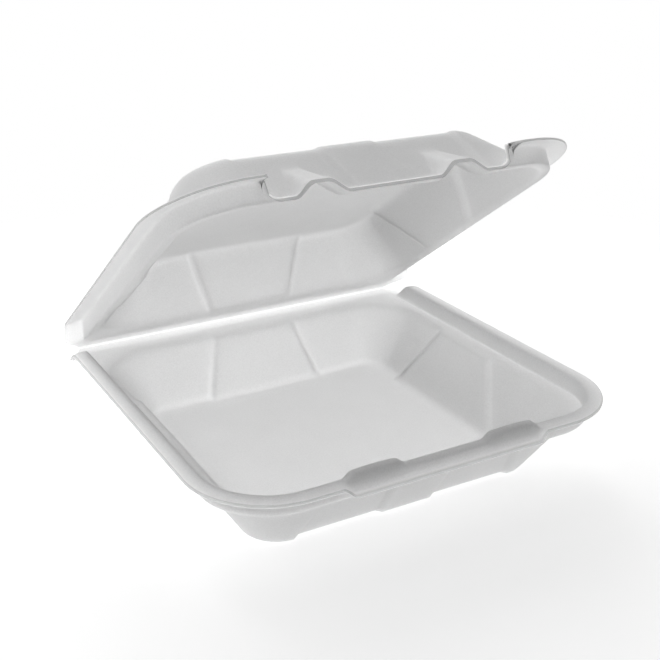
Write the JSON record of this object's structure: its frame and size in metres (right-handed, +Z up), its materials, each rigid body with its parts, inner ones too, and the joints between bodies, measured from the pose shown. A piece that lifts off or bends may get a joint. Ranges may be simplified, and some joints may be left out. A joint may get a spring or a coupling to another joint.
{
  "type": "foam clamshell container",
  "caption": "Square hinged foam food container with a deep tray, a lid on a crease along the back and a snap lip at the front.",
  "frame": {"origin": "on the tray's flat underside, below the middle of its rim", "axes": "+Z up, +Y towards the crease at the back, +X to the right seen from the front"},
  "size_m": [0.2332, 0.2313, 0.1785],
  "materials": {
    "white_foam": "matte white expanded foam with a fine skin"
  },
  "bodies": {
    "tray": {"base_tray": "white_foam"},
    "lid": {"lid": "white_foam"}
  },
  "joints": [
    {"name": "lid_crease", "type": "hinge", "parent": "tray", "child": "lid", "pos_m": [0, 0.1143, 0.0388], "axis": [-1, 0, 0], "range_deg": [-35, 145]}
  ]
}
